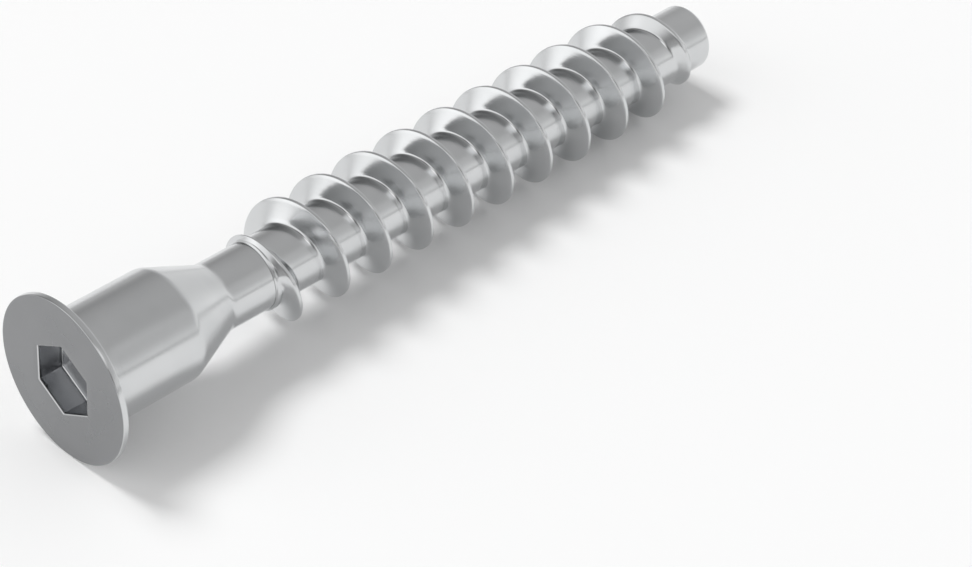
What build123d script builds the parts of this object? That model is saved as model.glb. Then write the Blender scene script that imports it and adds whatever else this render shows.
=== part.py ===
from build123d import *
import math
import os

# One piece furniture connector screw, lying on a flat surface as it comes to rest.
# Millimetres, +Z up. The origin is at the middle of the underside of its bounding box,
# and the screw's axis points along +X, from the flat of the head down to the tip.
# A station is a distance along the axis from the flat of the head.
# An angle is taken round the axis from straight up, clockwise as seen from the head.

# Head
head_diameter = 10.2
rim_height = 0.37
rim_bevel = 0.07
underside_angle = 65.0
underside_fillet = 0.3

# Hex socket, its width being across the flats
socket_width = 4.05
socket_depth = 1.66
socket_bevel = 0.1
socket_angle = 2.1

# Plain shank, the taper below it and the neck that leads to the ring
shank_diameter = 6.9
shank_end = 7.1
shoulder_radius = 1.1
taper_length = 3.4
neck_fillet = 0.9
neck_length = 3.28
core_diameter = 4.17

# Low ring that the thread rises from
ring_width = 0.54
ring_height = 0.12
ring_bevel = 0.12

# Lead of the thread, a low ridge on the ring, and the turns over which it comes out of the ring
lead_width = 0.5
lead_height = 0.36
lead_turns = 0.45
lead_rise_turns = 0.2

# Coarse right-hand thread, whose crest leaves the middle of the ring at its start angle
overall_length = 50.0
thread_diameter = 6.9
pitch = 3.3
thread_start_angle = 12.0
flank_angle = 21.0
crest_width = 0.2
root_fillet = 0.2

# Turns over which the crest turns off the ring, and over which it then rises to full height
turn_off = 0.1
rise_start = 0.08
rise_turns = 0.32

# Length over which the ridge fades, what is left of its height at the tip, and the tip's bevel
run_out_length = 5.55
run_out_height = 0.06
tip_bevel = 0.2

# How the ridge is laid in strips, the step that gives their direction, and its rooting in the core
STRIPS_PER_TURN = 4
DIRECTION_STEP = 0.0002
RIDGE_ROOTING = 0.35
RIDGE_SINK = 0.05
RIDGE_SPARE = 0.1

head_radius = head_diameter / 2
shank_radius = shank_diameter / 2
core_radius = core_diameter / 2
thread_radius = thread_diameter / 2
ridge_height = thread_radius - core_radius
flank_slope = math.tan(math.radians(flank_angle))
fillet_tangent = root_fillet * math.tan(math.radians((90 - flank_angle) / 2))
root_offset = crest_width / 2 + ridge_height * flank_slope + fillet_tangent

shank_start = rim_height + (head_radius - shank_radius) / math.tan(math.radians(underside_angle))
neck_start = shank_end + taper_length
thread_start = neck_start + neck_length


def crest_travel(turns):
    """How far along the axis the crest has gone after leaving the ring, in a soft turn-off."""
    if turns < -turn_off:
        return 0.0
    if turns < turn_off:
        return pitch * (turns + turn_off) ** 2 / (4 * turn_off)
    return pitch * turns


def soft_step(share):
    """Goes from 0 to 1 as the share does, and is level at both ends."""
    share = min(max(share, 0.0), 1.0)
    return share * share * (3 - 2 * share)


def height_share(turns):
    """Height of the ridge as a share of its full height.

    It comes out of the ring to the lead's height, keeps that until the crest has turned off,
    rises to the full height, and fades along the run-out.
    """
    start_share = ring_height / 2 / ridge_height
    lead_share = lead_height / ridge_height
    lead = (lead_share - start_share) * soft_step((turns + lead_turns) / lead_rise_turns)
    rise = (1 - lead_share) * soft_step((turns - rise_start) / rise_turns)
    end_share = run_out_height / ridge_height
    left = overall_length - thread_start - crest_travel(turns)
    run_out = end_share + (1 - end_share) * min(max(left / run_out_length, 0.0), 1.0)
    return min(start_share + lead + rise, run_out)


def width_share(turns):
    """Width of the ridge as a share of its full width, the lead's at first."""
    return min((lead_width / 2 + crest_travel(turns)) / root_offset, 1.0)


def ridge_section():
    """Closed outline of the ridge's full section, its root fillets each laid as one flat.

    Returns pairs of the offset from the middle of the crest and the height over the core.
    """
    blend_height = fillet_tangent * math.cos(math.radians(flank_angle))
    blend_offset = crest_width / 2 + (ridge_height - blend_height) * flank_slope
    sunk_offset = root_offset + (root_offset - blend_offset) / blend_height * RIDGE_SINK
    half = [
        (sunk_offset, -RIDGE_ROOTING),
        (sunk_offset, -RIDGE_SINK),
        (blend_offset, blend_height),
        (crest_width / 2, ridge_height),
    ]
    mirrored = [(-offset, height) for offset, height in half]
    return mirrored + half[::-1]


def ridge_point(offset, height, turns):
    """Point of the ridge's section a number of turns after the crest leaves the ring."""
    station = thread_start + crest_travel(turns) + offset * width_share(turns)
    lift = height * height_share(turns) if height > 0 else height
    radius = core_radius + lift
    angle = math.radians(thread_start_angle) + math.tau * turns
    return (station, -radius * math.sin(angle), radius * math.cos(angle))


def ridge_arc(corner, start, end):
    """Poles of the cubic edge that one corner of the section draws between two numbers of turns.

    The handles are as long as a circular arc's of the same angle, and point the way the corner
    moves, which is found from two points a short step apart.
    """
    handle = 4 / 3 * math.tan(math.tau * (end - start) / 4) / math.tau
    poles = [Vector(*ridge_point(*corner, turns)) for turns in (start, start, end, end)]
    for place, turns, share in ((1, start, handle), (2, end, -handle)):
        ahead = Vector(*ridge_point(*corner, turns + DIRECTION_STEP / 2))
        behind = Vector(*ridge_point(*corner, turns - DIRECTION_STEP / 2))
        poles[place] += (ahead - behind) * (share / DIRECTION_STEP)
    return poles


def ridge_strip(one, other, start, end):
    """Face of the ridge between two corners of the section, over a short stretch of it.

    Each edge is weighted by the radius of the other one. That leaves the face's form as it is
    and keeps slanted lines across it nearly straight, so that few facets follow it closely.
    """
    middle = (start + end) / 2
    radii = [math.hypot(*ridge_point(*corner, middle)[1:]) for corner in (other, one)]
    edges = [ridge_arc(corner, start, end) for corner in (one, other)]
    return Face.make_bezier_surface(edges, [[radius] * len(edges[0]) for radius in radii])


def make_ridge():
    """The ridge of the thread, rooted in the core, from inside the ring to beyond the tip."""
    section = ridge_section()
    first = -lead_turns - RIDGE_SPARE
    last = (overall_length - thread_start) / pitch + RIDGE_SPARE
    strips = math.ceil((last - first) * STRIPS_PER_TURN)
    cuts = [first + (last - first) * k / strips for k in range(strips + 1)]
    faces = []
    for start, end in zip(cuts, cuts[1:]):
        for one, other in zip(section, section[1:] + section[:1]):
            faces.append(ridge_strip(one, other, start, end))
    for turns in (first, last):
        corners = [ridge_point(*corner, turns) for corner in section]
        faces.append(Face(Wire.make_polygon(corners, close=True)))
    return Solid(Shell(faces))


def make_ridge_room():
    """Space that the ridge keeps to, which ends in the bevel of the tip, carried on outwards."""
    start = thread_start - 2 * ring_width
    inner = core_radius - 2 * RIDGE_ROOTING
    outer = thread_radius + 2 * RIDGE_ROOTING
    end = overall_length - tip_bevel / 2
    end_radius = core_radius - tip_bevel / 2
    outline = Polyline(
        (start, inner),
        (start, outer),
        (end - (outer - end_radius), outer),
        (end, end_radius),
        (end, inner),
        close=True,
    )
    return revolve(make_face(outline), Axis.X)


def make_blank():
    """Head, shank, taper, neck and core with the ring on it, turned about the axis."""
    ring_start = thread_start - ring_width / 2
    ring_end = thread_start + ring_width / 2
    ring_radius = core_radius + ring_height
    corners = [
        ((0, 0), None),
        ((0, head_radius - rim_bevel), 0),
        ((rim_bevel, head_radius), 0),
        ((rim_height - rim_bevel, head_radius), 0),
        ((rim_height, head_radius - rim_bevel), 0),
        ((shank_start, shank_radius), underside_fillet),
        ((shank_end, shank_radius), shoulder_radius),
        ((neck_start, core_radius), neck_fillet),
        ((ring_start, core_radius), 0),
        ((ring_start + ring_bevel, ring_radius), 0),
        ((ring_end - ring_bevel, ring_radius), 0),
        ((ring_end, core_radius), 0),
        ((overall_length - tip_bevel, core_radius), 0),
        ((overall_length, core_radius - tip_bevel), 0),
        ((overall_length, 0), None),
    ]
    points = [point for point, _ in corners]
    radii = [radius for _, radius in corners[1:-1]]
    outline = FilletPolyline(*points, radius=radii) + Line(points[-1], points[0])
    return revolve(make_face(outline), Axis.X)


def make_socket():
    """The room of the hex socket, one of its corners at the socket angle from straight up."""
    hexagon = RegularPolygon(socket_width / 2, 6, major_radius=False)
    return extrude(Plane.YZ * Rot(0, 0, 90 + socket_angle) * hexagon, socket_depth)


def make_screw():
    """The whole screw on the X axis, the flat of its head at the origin."""
    blank = make_blank() - make_socket()
    mouth = blank.edges().filter_by_position(Axis.X, 0, 0).filter_by(GeomType.LINE)
    blank = chamfer(mouth, socket_bevel)
    return blank + (make_ridge() & make_ridge_room())


def lay_down(screw):
    """Rest the screw on its rim and on the last crest of full height that points down."""
    turns_to_bottom = (180 - thread_start_angle) / 360
    full_turns = (overall_length - run_out_length - thread_start) / pitch
    contact_turns = turns_to_bottom + math.floor(full_turns - turns_to_bottom)
    contact_station = thread_start + pitch * contact_turns + crest_width / 2
    run = contact_station - (rim_height - rim_bevel)
    tilt = math.atan2(head_radius - thread_radius, run)
    sine = math.sin(tilt)
    cosine = math.cos(tilt)
    axis_height = contact_station * sine + thread_radius * cosine
    head_end = -(head_radius - rim_bevel) * sine
    tip_end = overall_length * cosine + (core_radius - tip_bevel) * sine
    middle = (head_end + tip_end) / 2
    return Pos(-middle, 0, axis_height) * Rot(0, math.degrees(tilt), 0) * screw


os.makedirs("parts", exist_ok=True)
export_step(lay_down(make_screw()), "parts/connector_screw.step")
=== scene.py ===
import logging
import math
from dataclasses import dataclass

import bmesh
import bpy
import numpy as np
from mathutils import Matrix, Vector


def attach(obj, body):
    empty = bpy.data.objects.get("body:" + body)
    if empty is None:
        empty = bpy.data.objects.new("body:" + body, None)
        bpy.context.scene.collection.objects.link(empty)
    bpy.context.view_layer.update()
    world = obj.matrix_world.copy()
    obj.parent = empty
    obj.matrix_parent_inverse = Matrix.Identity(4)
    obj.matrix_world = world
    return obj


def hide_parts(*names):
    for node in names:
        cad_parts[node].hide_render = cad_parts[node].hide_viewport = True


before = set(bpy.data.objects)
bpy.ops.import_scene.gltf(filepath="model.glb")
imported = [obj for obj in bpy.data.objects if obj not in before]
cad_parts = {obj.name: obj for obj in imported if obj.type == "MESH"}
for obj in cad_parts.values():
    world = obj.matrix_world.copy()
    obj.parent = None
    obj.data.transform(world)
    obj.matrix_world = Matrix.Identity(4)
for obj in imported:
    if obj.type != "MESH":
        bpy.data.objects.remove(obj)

# Looks of the one piece furniture connector screw, which lies as it comes to rest.
#
# The screw's sizes are in millimetres, as in its drawing, and one factor turns them to metres.
# A station is a distance along the screw's axis from the flat of the head, towards the tip.
# An angle is taken round that axis from straight up, clockwise as seen from the head.
# The azimuth of a light or of the camera is counted in degrees from -Y towards +X.

MM = 0.001
NODE = "connector_screw"
HEX_SIDES = 6

# Columns of the skin in a turn, how near doubled points lie, in metres, and from which angle
# between two faces their edge is drawn sharp.
COLUMNS = 144
MERGE_DISTANCE = 2e-7
SHARP_ANGLE = math.radians(32)

# Numbers of the two colour inputs and of the colour output of a Mix node.
MIX_A, MIX_B, MIX_RESULT = 6, 7, 2

# The setting of a Map Range node that eases its ends.
SMOOTH = {"interpolation_type": "SMOOTHSTEP"}

Array = np.ndarray
Tree = bpy.types.NodeTree
Node = bpy.types.Node
Socket = bpy.types.NodeSocket
log = logging.getLogger("connector_screw")


def smooth_step(share: Array) -> Array:
    """Eases a share from 0 to 1, level at both ends: three times its square less twice its cube.

    Args:
        share: Numbers, held to the range from 0 to 1 first.

    Returns:
        The eased numbers.
    """
    held = np.clip(share, 0.0, 1.0)
    return held * held * (3.0 - 2.0 * held)


def rounded_outline(corners: list[tuple[float, float, float]], arc_steps: int) -> Array:
    """Lays an outline through corners, each rounded by an arc tangent to both its sides.

    The arc's centre lies on the corner's middle line, its radius over the sine of half the
    corner's angle away, and its points are spaced evenly by angle.

    Args:
        corners: Station, radius and rounding of each corner, in order.
        arc_steps: How many steps each arc is laid in.

    Returns:
        Stations and radii of the outline, one row for each point.
    """
    points = np.array(corners)[:, :2]
    pieces = [points[:1]]
    for before, here, after, corner in zip(points, points[1:], points[2:], corners[1:-1]):
        rounding = corner[2]
        if rounding == 0.0:
            pieces.append(here[None])
            continue
        back = (before - here) / np.linalg.norm(before - here)
        ahead = (after - here) / np.linalg.norm(after - here)
        half = math.acos(float(back @ ahead)) / 2
        middle = (back + ahead) / np.linalg.norm(back + ahead)
        centre = here + middle * rounding / math.sin(half)
        first = here + back * rounding / math.tan(half) - centre
        last = here + ahead * rounding / math.tan(half) - centre
        turn = math.pi - 2 * half
        share = np.linspace(0.0, 1.0, arc_steps + 1)[:, None]
        arc = (np.sin((1 - share) * turn) * first + np.sin(share * turn) * last) / math.sin(turn)
        pieces.append(centre + arc)
    pieces.append(points[-1:])
    return np.concatenate(pieces)


def divided(outline: Array, longest: float) -> Array:
    """Puts points on an outline's long straight runs, so that none is longer than a given length.

    A run is cut into equal parts, as many as its length over the longest, rounded up.

    Args:
        outline: Stations and radii, one row for each point.
        longest: The longest run to leave.

    Returns:
        The same outline with the added points.
    """
    runs = np.linalg.norm(np.diff(outline, axis=0), axis=1)
    counts = np.maximum(np.ceil(runs / longest).astype(int), 1)
    cuts = [np.linspace(k, k + 1, count, endpoint=False) for k, count in enumerate(counts)]
    places = np.append(np.concatenate(cuts), len(runs))
    index = np.arange(len(outline))
    return np.stack([np.interp(places, index, outline[:, axis]) for axis in (0, 1)], axis=1)


@dataclass(frozen=True)
class Grid:
    """Points of a surface round the screw's axis: its columns lie round it, its rows along it.

    Attributes:
        station: Station of each point.
        across: Distance of each point from the axis, measured towards straight up.
        aside: Distance of each point from the axis, measured towards +Y.
    """

    station: Array
    across: Array
    aside: Array

    @staticmethod
    def round_axis(station: Array, radius: Array, angle: Array) -> "Grid":
        """Makes a grid from stations, radii and angles of any shapes that fit together."""
        station, radius, angle = np.broadcast_arrays(station, radius, angle)
        return Grid(station, radius * np.cos(angle), -radius * np.sin(angle))

    def points(self) -> Array:
        """Returns the points as rows of three, the axis along the first direction."""
        return np.stack([self.station, self.aside, self.across], axis=-1).reshape(-1, 3)

    def quads(self, closed: bool) -> Array:
        """Joins neighbouring points of the grid in fours.

        Args:
            closed: Whether the last column joins the first one.

        Returns:
            Indices of the four corners, one row for each quad.
        """
        rows, columns = self.station.shape
        index = np.arange(rows * columns).reshape(rows, columns)
        if closed:
            index = np.concatenate([index, index[:, :1]], axis=1)
        corners = (index[:-1, :-1], index[:-1, 1:], index[1:, 1:], index[1:, :-1])
        return np.stack(corners, axis=-1).reshape(-1, 4)


@dataclass(frozen=True)
class HexSocket:
    """The hexagonal recess in the head, with softly rounded corners and a flat floor.

    Attributes:
        width: Size across the flats.
        depth: How deep its floor lies.
        mouth_bevel: Width of the soft edge round its mouth.
        corner_angle: Angle of one of its corners.
        corner_radius: Rounding of its upright corners.
        floor_radius: Rounding where its walls meet its floor.
        largest_corner: Share of a flat's distance from the axis that a corner may round at most.
        arc_columns: Columns in half of a rounded corner.
        edge_rows: Rows in the soft edge round its mouth, and in the one round its floor.
        wall_rows: Rows in its walls.
        floor_rows: Rows in its floor.
    """

    width: float = 4.05
    depth: float = 1.66
    mouth_bevel: float = 0.1
    corner_angle: float = 2.1
    corner_radius: float = 0.09
    floor_radius: float = 0.07
    largest_corner: float = 0.9
    arc_columns: int = 3
    edge_rows: int = 4
    wall_rows: int = 8
    floor_rows: int = 8

    def hexagon(self, inset: Array, columns: int) -> tuple[Array, Array]:
        """Lays columns round a hexagon with rounded corners, for each inset of its flats.

        Half a side runs from its middle along the flat, and then round half of the corner's
        arc. The other half mirrors it, and each side turns the first by a sixth of a turn.

        Args:
            inset: How far each row's flats stand inside the socket's own, one for each row.
            columns: How many points go round, a multiple of twelve.

        Returns:
            Distances from the axis towards the first corner's direction and square to it.
        """
        flat = (self.width / 2 - np.asarray(inset, float))[:, None]
        corner = np.minimum(self.corner_radius, flat * self.largest_corner)
        half_side = columns // HEX_SIDES // 2
        sixth = math.pi / HEX_SIDES
        step = np.arange(-half_side, half_side)
        straight = half_side - self.arc_columns
        along = np.clip(np.abs(step) / straight, 0.0, 1.0) * (flat - corner) * math.tan(sixth)
        bend = np.clip((np.abs(step) - straight) / self.arc_columns, 0.0, 1.0) * sixth
        out = flat - corner + corner * np.cos(bend)
        side = np.sign(step) * (along + corner * np.sin(bend))
        turn = (np.arange(HEX_SIDES) * 2 + 1) * sixth
        outward = out[:, None] * np.cos(turn)[:, None] - side[:, None] * np.sin(turn)[:, None]
        sideways = out[:, None] * np.sin(turn)[:, None] + side[:, None] * np.cos(turn)[:, None]
        rows = len(flat)
        return outward.reshape(rows, -1), sideways.reshape(rows, -1)

    def grid(self, first_angle: float, columns: int) -> Grid:
        """Lays the floor from its middle outwards, then the walls up to the soft mouth edge.

        The wall meets the floor in a quarter circle, and the face in another one.

        Args:
            first_angle: Angle of column 0 of the rest of the screw, in radians.
            columns: How many columns go round.

        Returns:
            The socket's grid, its columns nearest to those of the rest of the screw.
        """
        quarter = np.linspace(0.0, math.pi / 2, self.edge_rows + 1)
        foot, lip = self.floor_radius, self.mouth_bevel
        floor_inset = np.linspace(self.width / 2, foot, self.floor_rows, endpoint=False)
        foot_inset = foot * (1 - np.sin(quarter))
        foot_station = self.depth - foot * (1 - np.cos(quarter))
        wall_station = np.linspace(self.depth - foot, lip, self.wall_rows + 1)[1:-1]
        lip_inset = -lip * (1 - np.cos(quarter))
        lip_station = lip * (1 - np.sin(quarter))
        inset = np.concatenate([floor_inset, foot_inset, np.zeros_like(wall_station), lip_inset])
        level = np.full(self.floor_rows, self.depth)
        station = np.concatenate([level, foot_station, wall_station, lip_station])
        outward, sideways = self.hexagon(inset, columns)
        angle = math.radians(self.corner_angle)
        shift = round((angle - first_angle) / math.tau * columns)
        outward = np.roll(outward, shift, axis=1)
        sideways = np.roll(sideways, shift, axis=1)
        across = outward * math.cos(angle) - sideways * math.sin(angle)
        aside = -(outward * math.sin(angle) + sideways * math.cos(angle))
        return Grid(np.broadcast_to(station[:, None], across.shape), across, aside)


@dataclass(frozen=True)
class Body:
    """Head, shank, taper and neck, all turned about the axis.

    Attributes:
        head_diameter: Size of the flat head.
        rim_height: Height of the head's upright rim.
        rim_radius: Rounding of both edges of the rim.
        underside_angle: Slope of the head's underside, from the axis.
        underside_fillet: Rounding where the underside meets the shank.
        shank_diameter: Size of the plain shank.
        shank_end: Station where the shank's side line ends.
        shoulder_radius: Rounding where the shank turns into the taper.
        taper_length: Length of the taper.
        neck_fillet: Rounding where the taper turns into the neck.
        neck_length: From the end of the taper to the middle of the ring.
        core_diameter: Size of the neck and of the thread's core.
        arc_steps: Steps in each of its roundings.
        longest_run: Longest step along its straight sides.
        face_rows: Rows of the flat face between the socket and the rim.
    """

    head_diameter: float = 10.2
    rim_height: float = 0.37
    rim_radius: float = 0.07
    underside_angle: float = 65.0
    underside_fillet: float = 0.3
    shank_diameter: float = 6.9
    shank_end: float = 7.1
    shoulder_radius: float = 1.1
    taper_length: float = 3.4
    neck_fillet: float = 0.9
    neck_length: float = 3.28
    core_diameter: float = 4.17
    arc_steps: int = 7
    longest_run: float = 0.4
    face_rows: int = 6

    @property
    def ring_middle(self) -> float:
        """Station of the middle of the ring that the thread rises from."""
        return self.shank_end + self.taper_length + self.neck_length

    @property
    def core_radius(self) -> float:
        """Radius of the neck and of the thread's core."""
        return self.core_diameter / 2

    def outline(self, end: float) -> Array:
        """Lays the turned outline from the edge of the flat face to the ring.

        It is straight from corner to corner, and each corner is rounded by its own radius.

        Args:
            end: Station at which it stops.

        Returns:
            Stations and radii, one row for each point.
        """
        head, shank = self.head_diameter / 2, self.shank_diameter / 2
        slope = math.tan(math.radians(self.underside_angle))
        shank_start = self.rim_height + (head - shank) / slope
        corners = [
            (0.0, head - 2 * self.rim_radius, 0.0),
            (0.0, head, self.rim_radius),
            (self.rim_height, head, self.rim_radius),
            (shank_start, shank, self.underside_fillet),
            (self.shank_end, shank, self.shoulder_radius),
            (self.shank_end + self.taper_length, self.core_radius, self.neck_fillet),
            (end, self.core_radius, 0.0),
        ]
        return divided(rounded_outline(corners, self.arc_steps), self.longest_run)


@dataclass(frozen=True)
class Thread:
    """The coarse right-hand thread, from the ring to the tip, and the core that carries it.

    Attributes:
        diameter: Size over the crests.
        pitch: How far the thread travels in a turn.
        start_angle: Angle at which the crest leaves the middle of the ring.
        flank_angle: Slope of each flank, from a plane square to the axis.
        crest_width: Width of the crest between the lines of its flanks.
        crest_radius: Rounding of the two edges of the crest.
        root_fillet: Rounding where a flank meets the core.
        lead_width: Width of the low ridge on the ring that the thread starts as.
        lead_height: Height of that ridge over the core.
        lead_turns: Turns of it before the crest leaves the ring.
        lead_rise_turns: Turns in which it comes up out of the ring.
        turn_off: Turns to each side of the start in which the crest takes up its slope.
        rise_start: Turns after the start at which the ridge begins to rise.
        rise_turns: Turns in which it then rises to its full height.
        run_out_length: Length over which the ridge fades towards the tip.
        run_out_rest: How far before the tip it has faded away.
        ring_width: Width of the low ring.
        ring_height: Height of the ring over the core.
        ring_shoulder: Width of the ring's soft shoulders.
        edge_steps: Steps in each rounded edge of the crest.
        flank_steps: Steps down each flank.
        fillet_steps: Steps in each root fillet.
        root_steps: Steps across the core on each side of the ridge.
    """

    diameter: float = 6.9
    pitch: float = 3.3
    start_angle: float = 12.0
    flank_angle: float = 21.0
    crest_width: float = 0.2
    crest_radius: float = 0.05
    root_fillet: float = 0.2
    lead_width: float = 0.5
    lead_height: float = 0.36
    lead_turns: float = 0.45
    lead_rise_turns: float = 0.2
    turn_off: float = 0.1
    rise_start: float = 0.08
    rise_turns: float = 0.32
    run_out_length: float = 5.25
    run_out_rest: float = 0.5
    ring_width: float = 0.54
    ring_height: float = 0.12
    ring_shoulder: float = 0.14
    edge_steps: int = 3
    flank_steps: int = 7
    fillet_steps: int = 4
    root_steps: int = 4

    def half_section(self, height: float) -> Array:
        """Lays half of the ridge's section, from the middle of the crest to the root.

        The flank is a straight line, and an arc tangent to it rounds it off at each end: into
        the level crest above, and into the level core below.

        Args:
            height: Full height of the ridge over the core.

        Returns:
            Offsets from the middle of the crest, and heights over the core.
        """
        flank = math.radians(self.flank_angle)
        turn = math.radians(90 - self.flank_angle)
        crest, foot = self.crest_width / 2, self.crest_width / 2 + height * math.tan(flank)
        edge_tangent = self.crest_radius * math.tan(turn / 2)
        root_tangent = self.root_fillet * math.tan(turn / 2)
        edge = np.linspace(0.0, turn, self.edge_steps + 1)
        edge_offset = crest - edge_tangent + self.crest_radius * np.sin(edge)
        edge_height = height - self.crest_radius * (1 - np.cos(edge))
        blend = np.linspace(turn, 0.0, self.fillet_steps + 1)
        blend_offset = foot + root_tangent - self.root_fillet * np.sin(blend)
        blend_height = self.root_fillet * (1 - np.cos(blend))
        top = (crest + edge_tangent * math.sin(flank), height - edge_tangent * math.cos(flank))
        low = (foot - root_tangent * math.sin(flank), root_tangent * math.cos(flank))
        share = np.linspace(0.0, 1.0, self.flank_steps + 1)[1:-1]
        offset = [[0.0], edge_offset, top[0] + (low[0] - top[0]) * share, blend_offset]
        lift = [[height], edge_height, top[1] + (low[1] - top[1]) * share, blend_height]
        return np.stack([np.concatenate(offset), np.concatenate(lift)])

    def travel(self, turns: Array) -> Array:
        """Tells how far along the axis the crest has gone.

        Up to the turn-off it stays, then it follows a parabola, and after the turn-off a line
        that gains one pitch in a turn.

        Args:
            turns: Turns since the start, some of them before it.

        Returns:
            A distance for each of them.
        """
        bend = np.clip(turns + self.turn_off, 0.0, 2 * self.turn_off)
        beyond = np.maximum(turns - self.turn_off, 0.0)
        return self.pitch * (bend * bend / (4 * self.turn_off) + beyond)


@dataclass(frozen=True)
class Tip:
    """The plain cut end of the screw.

    Attributes:
        length: Overall length of the screw.
        radius: Rounding of its end's edge.
        edge_rows: Rows in that rounding.
        disc_rows: Rows in the flat end.
    """

    length: float = 50.0
    radius: float = 0.2
    edge_rows: int = 5
    disc_rows: int = 4

    @property
    def start(self) -> float:
        """Station where the rounding of the edge begins."""
        return self.length - self.radius


@dataclass(frozen=True)
class ThreadSurface:
    """The thread's surface as one long strip that winds from the ring to the tip.

    Across the strip lie the root before the crest, the crest with its flanks and the root
    after it, and each turn's last line is the next turn's first one. Where the strip would
    pass the ring or the tip, its points are held back to that edge.

    Attributes:
        thread: Sizes of the thread.
        body: Sizes of the body, whose neck the ring stands on.
        tip: Sizes of the tip, where the strip ends.
    """

    thread: Thread
    body: Body
    tip: Tip

    @property
    def ring_start(self) -> float:
        """Station of the edge of the ring towards the head."""
        return self.body.ring_middle - self.thread.ring_width / 2

    @property
    def last_turns(self) -> float:
        """Turns at which all of the strip, which is a pitch wide, has passed the tip's start."""
        return (self.tip.start - self.body.ring_middle) / self.thread.pitch + 0.5

    @property
    def section(self) -> Array:
        """Half of the ridge's full section, as offsets and heights."""
        return self.thread.half_section(self.thread.diameter / 2 - self.body.core_radius)

    def crest(self, turns: Array) -> Array:
        """Station of the crest after a number of turns."""
        return self.body.ring_middle + self.thread.travel(turns)

    def width_share(self, turns: Array) -> Array:
        """Width of the ridge as a share of its full one, the lead's at first."""
        room = self.thread.lead_width / 2 + self.thread.travel(turns)
        return np.minimum(room / self.section[0, -1], 1.0)

    def height_share(self, turns: Array) -> Array:
        """Height of the ridge as a share of its full one.

        It eases up to the lead's height, keeps it, eases up to the full one, and fades in a line.

        Args:
            turns: Turns since the start.

        Returns:
            A share for each of them.
        """
        thread = self.thread
        full = self.section[1, 0]
        low = thread.lead_height / full
        lead = low * smooth_step((turns + thread.lead_turns) / thread.lead_rise_turns)
        run_in = lead + (1 - low) * smooth_step((turns - thread.rise_start) / thread.rise_turns)
        left = self.tip.length - thread.run_out_rest - self.crest(turns)
        return np.minimum(run_in, np.clip(left / thread.run_out_length, 0.0, 1.0))

    def ridge(self, station: Array, turns: Array) -> Array:
        """Height over the core that one turn of the ridge gives to points at given stations."""
        offset = np.abs(station - self.crest(turns)) / self.width_share(turns)
        return np.interp(offset, *self.section) * self.height_share(turns)

    def ring(self, station: Array) -> Array:
        """Height over the core that the ring gives, with an eased shoulder on each side."""
        inside = self.thread.ring_width / 2 - np.abs(station - self.body.ring_middle)
        return self.thread.ring_height * smooth_step(inside / self.thread.ring_shoulder)

    def radius(self, station: Array, turns: Array) -> Array:
        """Tells how far the surface is from the axis.

        That is the core's radius and the height of the highest thing that stands on it there:
        this turn of the ridge, the one before, the one after, or the ring.

        Args:
            station: Stations of the points.
            turns: Turns of the strip that they lie on.

        Returns:
            One radius for each point.
        """
        near = [self.ridge(station, turns + step) for step in (-1.0, 0.0, 1.0)]
        return self.body.core_radius + np.maximum.reduce([*near, self.ring(station)])

    def valley(self, turns: Array) -> Array:
        """Finds the line between a turn's ridge and the next one.

        It runs midway between their feet, or at the next one's foot where the two overlap, and
        never before the ring.

        Args:
            turns: Turns since the start.

        Returns:
            A station for each of them.
        """
        reach = self.section[0, -1]
        after = self.crest(turns) + reach * self.width_share(turns)
        before = self.crest(turns + 1) - reach * self.width_share(turns + 1)
        return np.maximum(np.minimum(before, (after + before) / 2), self.ring_start)

    def grid(self, columns: int) -> Grid:
        """Lays the strip, a column for each small step of its turns.

        In a column, the stations run evenly from the valley before the crest to the ridge's
        foot, follow the ridge's section at its width there, and run on to the valley after it.
        The strip starts a turn early, as the bare ring.

        Args:
            columns: How many steps make a turn.

        Returns:
            The strip's grid, an open one.
        """
        thread = self.thread
        turns = np.arange(-columns, math.ceil(self.last_turns * columns) + 2) / columns
        offset = self.section[0]
        offset = np.concatenate([-offset[::-1], offset[1:]])[:, None] * self.width_share(turns)
        ridge = self.crest(turns) + offset
        share = np.linspace(0.0, 1.0, thread.root_steps + 1)[:-1, None]
        before, after = self.valley(turns - 1), self.valley(turns)
        head_side = before + (ridge[0] - before) * share
        tip_side = after + (ridge[-1] - after) * share[::-1]
        station = np.concatenate([head_side, ridge, tip_side])
        station = np.minimum(np.maximum(np.minimum(station, after), before), self.tip.start)
        angle = math.radians(thread.start_angle) + math.tau * turns
        return Grid.round_axis(station, self.radius(station, turns), angle)


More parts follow.
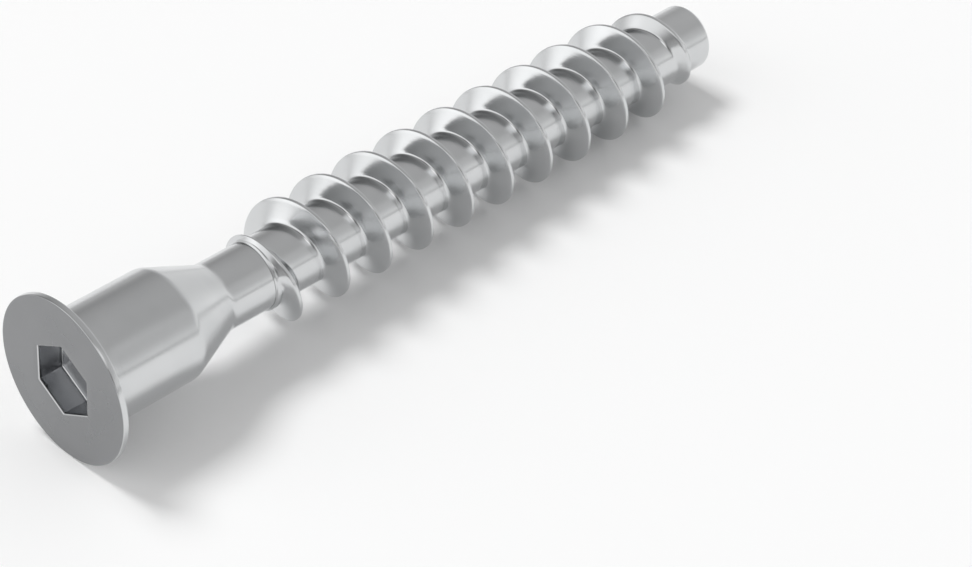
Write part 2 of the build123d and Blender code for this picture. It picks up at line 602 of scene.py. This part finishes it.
@dataclass(frozen=True)
class Resting:
    """How the screw lies: on its rim and on the last crest of full height that points down.

    Attributes:
        body: Sizes of the body.
        thread: Sizes of the thread.
        tip: Sizes of the tip.
    """

    body: Body
    thread: Thread
    tip: Tip

    @property
    def contact(self) -> float:
        """Finds the crest that it lies on, by counting turns from the first one that points down.

        Returns:
            Station of that crest's edge towards the tip.
        """
        thread, middle = self.thread, self.body.ring_middle
        to_bottom = (180 - thread.start_angle) / 360
        faded = thread.run_out_length + thread.run_out_rest
        full = (self.tip.length - faded - middle) / thread.pitch
        turns = to_bottom + math.floor(full - to_bottom)
        return middle + thread.pitch * turns + thread.crest_width / 2

    @property
    def tilt(self) -> float:
        """Tells how far the axis dips, from the difference of the two radii that it lies on.

        Returns:
            The angle in radians, towards the tip.
        """
        body = self.body
        run = self.contact - (body.rim_height - body.rim_radius)
        return math.atan2((body.head_diameter - self.thread.diameter) / 2, run)

    @property
    def origin(self) -> tuple[float, float, float]:
        """Finds the middle of the flat of the head in the frame of the whole part.

        The rim's low corner and the tip's high one end up as far from the origin, and the
        crest that it lies on touches the floor.

        Returns:
            The point, in metres.
        """
        body, sine, cosine = self.body, math.sin(self.tilt), math.cos(self.tilt)
        low = -(body.head_diameter / 2 - body.rim_radius) * sine
        high = self.tip.length * cosine + (body.core_radius - self.tip.radius) * sine
        axis_height = self.contact * sine + self.thread.diameter / 2 * cosine
        return -(low + high) / 2 * MM, 0.0, axis_height * MM

    def place(self, points: Array) -> Array:
        """Tilts the screw about its head and sets it down with its middle over the origin.

        A point is turned through the tilt and then moved as far as the middle of the head is.

        Args:
            points: Points along and round the axis, rows of three in millimetres.

        Returns:
            The same points in the frame of the whole part, in metres.
        """
        sine, cosine = math.sin(self.tilt), math.cos(self.tilt)
        turn = np.array([[cosine, 0.0, sine], [0.0, 1.0, 0.0], [-sine, 0.0, cosine]])
        return points @ turn.T * MM + np.array(self.origin)


def hex_colour(code: str) -> tuple[float, float, float, float]:
    """Turns an sRGB hex colour to the linear one that a shader takes.

    Args:
        code: Six hex digits.

    Returns:
        Linear red, green and blue, and full opacity.
    """
    shares = [int(code[k : k + 2], 16) / 255 for k in (0, 2, 4)]
    red, green, blue = (s / 12.92 if s <= 0.04045 else ((s + 0.055) / 1.055) ** 2.4 for s in shares)
    return red, green, blue, 1.0


def direction(azimuth: float, elevation: float) -> tuple[float, float, float]:
    """Gives the unit vector towards a place on the sky.

    Args:
        azimuth: Degrees round from -Y towards +X.
        elevation: Degrees above the horizon.

    Returns:
        The vector.
    """
    turn, rise = math.radians(azimuth), math.radians(elevation)
    return math.sin(turn) * math.cos(rise), -math.cos(turn) * math.cos(rise), math.sin(rise)


def bare_tree(owner: bpy.types.Material | bpy.types.World) -> Tree:
    """Gives a material or a world an empty node tree.

    Args:
        owner: The material or the world.

    Returns:
        Its tree.
    """
    owner.use_nodes = True
    owner.node_tree.nodes.clear()
    return owner.node_tree


def add_node(tree: Tree, kind: str, settings: dict[str, object], inputs: dict) -> Node:
    """Adds a shader node, sets it and feeds it.

    Args:
        tree: The node tree.
        kind: The node's type, without the words that all of them begin with.
        settings: Its own properties by name.
        inputs: Its inputs by name or number: each a value, an output, or a node, which stands
            for its first output.

    Returns:
        The new node.
    """
    node = tree.nodes.new("ShaderNode" + kind)
    for name, value in settings.items():
        setattr(node, name, value)
    for name, value in inputs.items():
        if isinstance(value, Node):
            value = value.outputs[0]
        if isinstance(value, Socket):
            tree.links.new(value, node.inputs[name])
        else:
            node.inputs[name].default_value = value
    return node


@dataclass(frozen=True)
class BrightZinc:
    """Bright zinc plate on cold-formed steel: a silvery, slightly milky mirror.

    The plate is bright from the bath, so it mirrors with soft edges. Heading and thread rolling
    leave faint lines round the axis, which draw a reflection out a little along the screw. The
    plate is a little uneven in tone. That the flat of the head is duller is a guess. Its colour
    is also lowered there as painted shade, and the walls of the socket are greyed as painted
    shade in the recess: both were set to match the tones of one photograph.

    Attributes:
        light: Colour of the plate where it is clearest.
        dark: Colour where it is milkiest.
        face: What the flat of the head keeps of that colour, as painted shade.
        face_depth_mm: How far below the flat its duller plate and its painted shade end.
        wall: What the walls of the socket keep of the colour as painted shade, set to match the
            lowest of them.
        wall_stations_mm: Where those walls start and end.
        wall_radii_mm: Between which distances from the axis they are.
        roughness: Roughness where the plate is clearest.
        roughness_spread: What the milky places add to it.
        face_roughness: What the flat of the head adds to it.
        cloud_mm: Size of the milky places.
        cloud_detail: How many finer patterns are laid over them.
        cloud_range: Levels of their noise at which the plate is milkiest and clearest.
        line_mm: Distance between the faint lines. They are really finer than the eye can tell
            apart, and are drawn this coarse so that a picture can hold them.
        line_height_mm: How deep the lines are.
        line_length_mm: How far one line runs round the axis before it fades.
        line_detail: How many finer patterns are laid over them.
    """

    light: str = "DADBDC"
    dark: str = "CDCFD0"
    face: str = "AAAAAB"
    face_depth_mm: float = 0.03
    wall: str = "D4D4D6"
    wall_stations_mm: tuple[float, float] = (0.1, 1.6)
    wall_radii_mm: tuple[float, float] = (1.95, 2.45)
    roughness: float = 0.16
    roughness_spread: float = 0.05
    face_roughness: float = 0.08
    cloud_mm: float = 2.6
    cloud_detail: float = 3.0
    cloud_range: tuple[float, float] = (0.35, 0.65)
    line_mm: float = 0.16
    line_height_mm: float = 0.002
    line_length_mm: float = 5.0
    line_detail: float = 2.0

    def walls(self, tree: Tree, station: Socket, radius: Socket) -> Node:
        """Tells the walls of the socket from the rest of the screw, for their painted shade.

        Args:
            tree: The node tree.
            station: Output of the station.
            radius: Output of the distance from the axis.

        Returns:
            A node that gives 1 on the walls and 0 elsewhere.
        """
        within = []
        for value, (low, high) in ((station, self.wall_stations_mm), (radius, self.wall_radii_mm)):
            near = {0: value, 1: (low + high) / 2 * MM, 2: (high - low) / 2 * MM}
            within.append(add_node(tree, "Math", {"operation": "COMPARE"}, near))
        return add_node(tree, "Math", {"operation": "MULTIPLY"}, dict(enumerate(within)))

    def colour(self, tree: Tree, cloud: Node, painted_shade: list[tuple[str, Node]]) -> Socket:
        """Mixes the plate's colour, and lowers it as painted shade in some places.

        Args:
            tree: The node tree.
            cloud: Noise of the milky places.
            painted_shade: What a place keeps of the colour as painted shade, with a node that gives
                1 there.

        Returns:
            The colour's output.
        """
        ends = {MIX_A: hex_colour(self.dark), MIX_B: hex_colour(self.light)}
        tone = add_node(tree, "Mix", {"data_type": "RGBA"}, {"Factor": cloud, **ends})
        multiply = {"data_type": "RGBA", "blend_type": "MULTIPLY"}
        # Each multiply lowers the colour as painted shade where its node gives 1.
        for keeps, place in painted_shade:
            ends = {MIX_A: tone.outputs[MIX_RESULT], MIX_B: hex_colour(keeps)}
            tone = add_node(tree, "Mix", multiply, {"Factor": place, **ends})
        return tone.outputs[MIX_RESULT]

    def relief(self, tree: Tree, part: Node, radius: Socket) -> Node:
        """Raises the faint lines round the axis.

        They are a noise that is fine along station plus radius, so that they run round the
        shank and round the flat alike, and long in the two directions square to the axis.

        Args:
            tree: The node tree.
            part: Node with the station as X and the two directions square to the axis.
            radius: Output of the distance from the axis.

        Returns:
            A node that gives the bent normal.
        """
        path = add_node(tree, "Math", {"operation": "ADD"}, {0: part.outputs["X"], 1: radius})
        square = {name: part.outputs[name] for name in ("Y", "Z")}
        turned = add_node(tree, "CombineXYZ", {}, {"X": path, **square})
        fine, long = 1 / (self.line_mm * MM), 1 / (self.line_length_mm * MM)
        scale = {0: turned, 1: (fine, long, long)}
        scaled = add_node(tree, "VectorMath", {"operation": "MULTIPLY"}, scale)
        noise = {"Vector": scaled, "Scale": 1.0, "Detail": self.line_detail}
        lines = add_node(tree, "TexNoise", {}, noise)
        rise = {"Height": lines, "Distance": self.line_height_mm * MM, "Strength": 1.0}
        return add_node(tree, "Bump", {}, rise)

    def material(self, resting: Resting) -> bpy.types.Material:
        """Builds the finish as a shader.

        Args:
            resting: How the screw lies, which says where its axis runs.

        Returns:
            The material.
        """
        made = bpy.data.materials.new("bright_zinc_plate_cold_formed")
        tree = bare_tree(made)
        place = add_node(tree, "TexCoord", {}, {}).outputs["Object"]
        # Turned so that X is the station from the flat of the head and the axis is at 0, 0.
        lie = {"Location": resting.origin, "Rotation": (0.0, resting.tilt, 0.0)}
        along = add_node(tree, "Mapping", {"vector_type": "TEXTURE"}, {"Vector": place, **lie})
        part = add_node(tree, "SeparateXYZ", {}, {"Vector": along})
        station = part.outputs["X"]
        across = add_node(tree, "VectorMath", {"operation": "MULTIPLY"}, {0: along, 1: (0, 1, 1)})
        radius = add_node(tree, "VectorMath", {"operation": "LENGTH"}, {0: across}).outputs["Value"]
        noise = {"Vector": place, "Scale": 1 / (self.cloud_mm * MM), "Detail": self.cloud_detail}
        cloud = add_node(tree, "TexNoise", {}, noise)
        # The flat of the head: a duller plate, and a colour lowered there as painted shade.
        depth = {"From Min": 0.0, "From Max": self.face_depth_mm * MM, "To Min": 1.0, "To Max": 0.0}
        flat = add_node(tree, "MapRange", SMOOTH, {"Value": station, **depth})
        # Painted shade: the flat of the head and the walls of the socket keep less of the colour.
        painted_shade = [(self.face, flat), (self.wall, self.walls(tree, station, radius))]
        milky, clear = self.cloud_range
        spread = {"From Min": milky, "From Max": clear}
        spread |= {"To Min": self.roughness + self.roughness_spread, "To Max": self.roughness}
        haze = add_node(tree, "MapRange", {}, {"Value": cloud, **spread})
        dulled = {0: flat, 1: self.face_roughness, 2: haze}
        surface = {
            "Base Color": self.colour(tree, cloud, painted_shade),
            "Metallic": 1.0,
            "Roughness": add_node(tree, "Math", {"operation": "MULTIPLY_ADD"}, dulled),
            "Normal": self.relief(tree, part, radius),
        }
        shader = add_node(tree, "BsdfPrincipled", {}, surface)
        add_node(tree, "OutputMaterial", {}, {"Surface": shader})
        return made


@dataclass(frozen=True)
class MattPaper:
    """Uncoated paper rolled out as a floor: quite matt, so it shows shadows and no reflection.

    Attributes:
        near: Its colour round the screw.
        far: Its colour further off, a painted shade standing in for light that falls off, which
            gives the metal a soft horizon.
        painted_shade_fade_mm: How far off the painted shade begins to turn the one colour into the
            other, and how far off it has.
    """

    near: str = "FAFAFA"
    far: str = "D4D4D4"
    painted_shade_fade_mm: tuple[float, float] = (50.0, 260.0)

    def material(self) -> bpy.types.Material:
        """Builds the paper as a shader.

        Returns:
            The material.
        """
        made = bpy.data.materials.new("matt_paper")
        tree = bare_tree(made)
        place = add_node(tree, "TexCoord", {}, {}).outputs["Object"]
        off = add_node(tree, "VectorMath", {"operation": "LENGTH"}, {0: place}).outputs["Value"]
        # Painted shade: the paper darkens with its distance from the screw, as if the light fell
        # off.
        start, end = self.painted_shade_fade_mm
        fade = {"Value": off, "From Min": start * MM, "From Max": end * MM}
        share = add_node(tree, "MapRange", SMOOTH, fade)
        ends = {MIX_A: hex_colour(self.near), MIX_B: hex_colour(self.far)}
        tone = add_node(tree, "Mix", {"data_type": "RGBA"}, {"Factor": share, **ends})
        shader = add_node(tree, "BsdfDiffuse", {}, {"Color": tone.outputs[MIX_RESULT]})
        add_node(tree, "OutputMaterial", {}, {"Surface": shader})
        return made


@dataclass(frozen=True)
class ConnectorScrew:
    """The whole screw as one closed skin, in one finish.

    Attributes:
        socket: Sizes of the hex socket.
        body: Sizes of the head, shank, taper and neck.
        thread: Sizes of the thread.
        tip: Sizes of the tip.
        finish: What it is plated with.
    """

    socket: HexSocket = HexSocket()
    body: Body = Body()
    thread: Thread = Thread()
    tip: Tip = Tip()
    finish: BrightZinc = BrightZinc()

    @property
    def resting(self) -> Resting:
        """How it lies."""
        return Resting(self.body, self.thread, self.tip)

    @property
    def first_angle(self) -> float:
        """Angle of the first column of every grid, the thread's start, in radians."""
        return math.radians(self.thread.start_angle)

    def head_and_shank(self, surface: ThreadSurface) -> Grid:
        """Lays the socket, the flat face and the turned body up to the ring.

        The face is flat rows shared out evenly between the socket's mouth and the rim.

        Args:
            surface: The thread's surface, whose ring ends the neck.

        Returns:
            The grid, closed round the axis.
        """
        angle = self.first_angle + math.tau * np.arange(COLUMNS) / COLUMNS
        recess = self.socket.grid(self.first_angle, COLUMNS)
        outline = self.body.outline(surface.ring_start)
        turned = Grid.round_axis(outline[:, :1], outline[:, 1:], angle)
        share = np.linspace(0.0, 1.0, self.body.face_rows + 1)[1:-1, None]
        rows = []
        for name in ("station", "across", "aside"):
            inner, outer = getattr(recess, name), getattr(turned, name)
            face = inner[-1] + (outer[0] - inner[-1]) * share
            rows.append(np.concatenate([inner, face, outer]))
        return Grid(*rows)

    def end(self, surface: ThreadSurface) -> Grid:
        """Lays the rounded edge of the tip and its flat disc, which closes at the middle.

        The edge is a quarter circle, and the disc's rows shrink evenly to the middle.

        Args:
            surface: The thread's surface, whose last line the edge starts from.

        Returns:
            The grid, closed round the axis.
        """
        tip = self.tip
        column = np.arange(COLUMNS) / COLUMNS
        turns = surface.last_turns - np.mod(surface.last_turns - column, 1.0)
        rim = surface.radius(np.full(COLUMNS, tip.start), turns)
        quarter = np.linspace(0.0, math.pi / 2, tip.edge_rows + 1)[:, None]
        share = np.linspace(1.0, 0.0, tip.disc_rows + 1)[1:, None]
        edge_radius = rim - tip.radius * (1 - np.cos(quarter))
        edge_station = tip.start + tip.radius * np.sin(quarter)
        radius = np.concatenate([edge_radius, (rim - tip.radius) * share])
        station = np.concatenate([edge_station, np.full_like(share, tip.length)])
        return Grid.round_axis(station, radius, self.first_angle + math.tau * column)

    def skin(self) -> tuple[Array, Array]:
        """Puts the three grids together and lays them down.

        Returns:
            The points, in metres, and the indices of each quad's corners.
        """
        surface = ThreadSurface(self.thread, self.body, self.tip)
        grids = (
            (self.head_and_shank(surface), True),
            (surface.grid(COLUMNS), False),
            (self.end(surface), True),
        )
        points, quads, count = [], [], 0
        for grid, closed in grids:
            points.append(grid.points())
            quads.append(grid.quads(closed) + count)
            count += len(points[-1])
        return self.resting.place(np.concatenate(points)), np.concatenate(quads)

    def mesh(self) -> bpy.types.Mesh:
        """Makes one closed mesh of the skin, its doubled lines merged and its faces outwards.

        Returns:
            The mesh.
        """
        points, corners = self.skin()
        made = bpy.data.meshes.new("connector_screw_skin")
        made.vertices.add(len(points))
        made.vertices.foreach_set("co", points.astype(np.float32).ravel())
        made.loops.add(corners.size)
        made.loops.foreach_set("vertex_index", corners.astype(np.int32).ravel())
        made.polygons.add(len(corners))
        made.polygons.foreach_set("loop_start", np.arange(0, corners.size, 4, dtype=np.int32))
        made.update(calc_edges=True)
        work = bmesh.new()
        work.from_mesh(made)
        bmesh.ops.remove_doubles(work, verts=work.verts, dist=MERGE_DISTANCE)
        bmesh.ops.dissolve_degenerate(work, edges=work.edges, dist=MERGE_DISTANCE)
        bmesh.ops.recalc_face_normals(work, faces=work.faces)
        work.to_mesh(made)
        work.free()
        made.shade_smooth()
        made.set_sharp_from_angle(angle=SHARP_ANGLE)
        return made

    def build(self) -> bpy.types.Object:
        """Makes the piece, dresses it and puts it in the place of its CAD node.

        Returns:
            The piece.
        """
        piece = bpy.data.objects.new("screw_skin", self.mesh())
        piece.data.materials.append(self.finish.material(self.resting))
        bpy.context.scene.collection.objects.link(piece)
        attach(piece, "root")
        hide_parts(NODE)
        return piece


@dataclass(frozen=True)
class Camera:
    """The photograph's view of the screw.

    Attributes:
        azimuth: Direction that it stands in, in degrees.
        elevation: How far it stands above the horizon, in degrees.
        aim_mm: The point that it looks at.
        distance_mm: How far that point is.
        lens_mm: Focal length of its lens.
        sensor_mm: Width of its sensor.
        shift: Shares of its width by which the frame is shifted, sideways and upwards.
        clip_m: How near and how far it sees, in metres.
    """

    azimuth: float = -45.185
    elevation: float = 38.996
    aim_mm: tuple[float, float, float] = (-6.65, -13.62, 9.09)
    distance_mm: float = 166.0
    lens_mm: float = 114.88
    sensor_mm: float = 36.0
    shift: tuple[float, float] = (0.0027, 0.00015)
    clip_m: tuple[float, float] = (0.001, 20.0)

    def build(self) -> bpy.types.Object:
        """Sets up the camera and makes it the scene's own.

        Returns:
            The camera.
        """
        data = bpy.data.cameras.new("camera")
        data.lens, data.sensor_width = self.lens_mm, self.sensor_mm
        data.shift_x, data.shift_y = self.shift
        data.clip_start, data.clip_end = self.clip_m
        back = Vector(direction(self.azimuth, self.elevation))
        camera = bpy.data.objects.new("camera", data)
        camera.location = (Vector(self.aim_mm) + back * self.distance_mm) * MM
        camera.rotation_mode = "QUATERNION"
        camera.rotation_quaternion = (-back).to_track_quat("-Z", "Y")
        bpy.context.scene.collection.objects.link(camera)
        bpy.context.scene.camera = camera
        return camera


@dataclass(frozen=True)
class Glow:
    """A large soft light far away, as a glow with soft edges on the surrounding.

    Attributes:
        azimuth: Direction that it comes from, in degrees.
        elevation: How high it stands, in degrees.
        radius: How far it reaches round its middle, in degrees.
        strength: How much light its middle adds.
    """

    azimuth: float
    elevation: float
    radius: float
    strength: float


@dataclass(frozen=True)
class Studio:
    """A plain pale floor in a pale room, under a few large soft lights.

    Attributes:
        floor_size: Length of the floor's sides, in metres.
        paper: What lies on the floor.
        room: Light that comes evenly from all round.
        horizon: What the horizon adds to it.
        horizon_height: How high that reaches, as the Z part of a direction.
        edge_height: How high the dark strip over the horizon reaches, as a Z part too.
        edge_share: What the strip leaves of the light.
        edge_side: Y parts of a direction between which the strip fades away.
        glows: The large soft lights.
        key_azimuth: Direction that the key light comes from, in degrees.
        key_elevation: How high it stands, in degrees.
        key_angle: How wide it is, in degrees, which softens its shadow.
        key_strength: How strong it is.
    """

    floor_size: float = 4.0
    paper: MattPaper = MattPaper()
    room: float = 0.12
    horizon: float = 0.38
    horizon_height: float = 0.42
    edge_height: float = 0.075
    edge_share: float = 0.62
    edge_side: tuple[float, float] = (-0.4, 0.1)
    glows: tuple[Glow, ...] = (
        Glow(azimuth=220, elevation=5, radius=40, strength=0.32),
        Glow(azimuth=315, elevation=39, radius=24, strength=0.9),
        Glow(azimuth=253, elevation=32, radius=50, strength=1.0),
        Glow(azimuth=14, elevation=48, radius=20, strength=1.2),
        Glow(azimuth=30, elevation=5, radius=45, strength=0.25),
        Glow(azimuth=95, elevation=6, radius=45, strength=0.2),
        Glow(azimuth=90, elevation=30, radius=80, strength=0.4),
    )
    key_azimuth: float = 185.0
    key_elevation: float = 58.0
    key_angle: float = 22.0
    key_strength: float = 1.6

    def floor(self) -> bpy.types.Object:
        """Lays the floor, one flat square.

        Returns:
            The floor.
        """
        half = self.floor_size / 2
        data = bpy.data.meshes.new("floor")
        corners = [(-half, -half, 0), (half, -half, 0), (half, half, 0), (-half, half, 0)]
        data.from_pydata(corners, [], [(0, 1, 2, 3)])
        data.materials.append(self.paper.material())
        piece = bpy.data.objects.new("floor", data)
        bpy.context.scene.collection.objects.link(piece)
        return piece

    def room_light(self, tree: Tree, towards: Socket, height: Socket) -> Node:
        """Lights the room evenly, lighter towards the horizon, and adds the glows.

        A glow eases from nothing at its edge to its strength at its middle, along the cosine of
        the angle between a direction and its own.

        Args:
            tree: The node tree.
            towards: Output of the direction that is looked at.
            height: Output of that direction's Z part.

        Returns:
            A node that gives the light's level.
        """
        fade = {"From Min": 0.0, "From Max": self.horizon_height}
        fade |= {"To Min": self.room + self.horizon, "To Max": self.room}
        level = add_node(tree, "MapRange", SMOOTH, {"Value": height, **fade})
        for glow in self.glows:
            middle = {0: towards, 1: direction(glow.azimuth, glow.elevation)}
            near = add_node(tree, "VectorMath", {"operation": "DOT_PRODUCT"}, middle)
            reach = {"From Min": math.cos(math.radians(glow.radius)), "From Max": 1.0}
            reach |= {"Value": near.outputs["Value"], "To Max": glow.strength}
            lit = add_node(tree, "MapRange", SMOOTH, reach)
            level = add_node(tree, "Math", {"operation": "ADD"}, {0: level, 1: lit})
        return level

    def world(self) -> bpy.types.World:
        """Makes the surrounding out of the room's light and the dark strip over its horizon.

        The strip is what the rim of a table shows, and lies on the -Y side.

        Returns:
            The world.
        """
        made = bpy.data.worlds.new("studio_room")
        tree = bare_tree(made)
        towards = add_node(tree, "TexCoord", {}, {}).outputs["Generated"]
        part = add_node(tree, "SeparateXYZ", {}, {"Vector": towards})
        light = self.room_light(tree, towards, part.outputs["Z"])
        dark_side, light_side = self.edge_side
        fade = {"From Min": dark_side, "From Max": light_side, "To Min": self.edge_share}
        side = add_node(tree, "MapRange", SMOOTH, {"Value": part.outputs["Y"], **fade})
        rise = {"From Min": self.edge_height / 2, "From Max": self.edge_height, "To Min": side}
        left = add_node(tree, "MapRange", SMOOTH, {"Value": part.outputs["Z"], **rise})
        level = add_node(tree, "Math", {"operation": "MULTIPLY"}, {0: light, 1: left})
        shine = add_node(tree, "Background", {}, {"Color": (1, 1, 1, 1), "Strength": level})
        add_node(tree, "OutputWorld", {}, {"Surface": shine})
        bpy.context.scene.world = made
        return made

    def key(self) -> bpy.types.Object:
        """Adds the polarised key light, which lights the paper but leaves no glare on the metal.

        Returns:
            The lamp.
        """
        data = bpy.data.lights.new("polarised_key", "SUN")
        data.energy, data.angle = self.key_strength, math.radians(self.key_angle)
        lamp = bpy.data.objects.new("polarised_key", data)
        lamp.location = Vector(direction(self.key_azimuth, self.key_elevation))
        lamp.rotation_mode = "QUATERNION"
        lamp.rotation_quaternion = lamp.location.to_track_quat("Z", "Y")
        lamp.visible_glossy = False
        bpy.context.scene.collection.objects.link(lamp)
        return lamp


def main() -> None:
    """Builds the screw, the studio and the camera, in that order, and reports each."""
    logging.basicConfig(level=logging.INFO, format="%(message)s")
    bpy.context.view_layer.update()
    screw = ConnectorScrew().build()
    log.info("screw: %d faces", len(screw.data.polygons))
    studio = Studio()
    floor = studio.floor()
    log.info("floor: %.1f m wide", floor.dimensions.x)
    world = studio.world()
    log.info("surrounding: %s, %d glows", world.name, len(studio.glows))
    lamp = studio.key()
    log.info("key light: %s", lamp.name)
    camera = Camera().build()
    log.info("camera: %.1f mm lens", camera.data.lens)
    bpy.context.scene.view_settings.view_transform = "Standard"


if __name__ == "__main__":
    main()
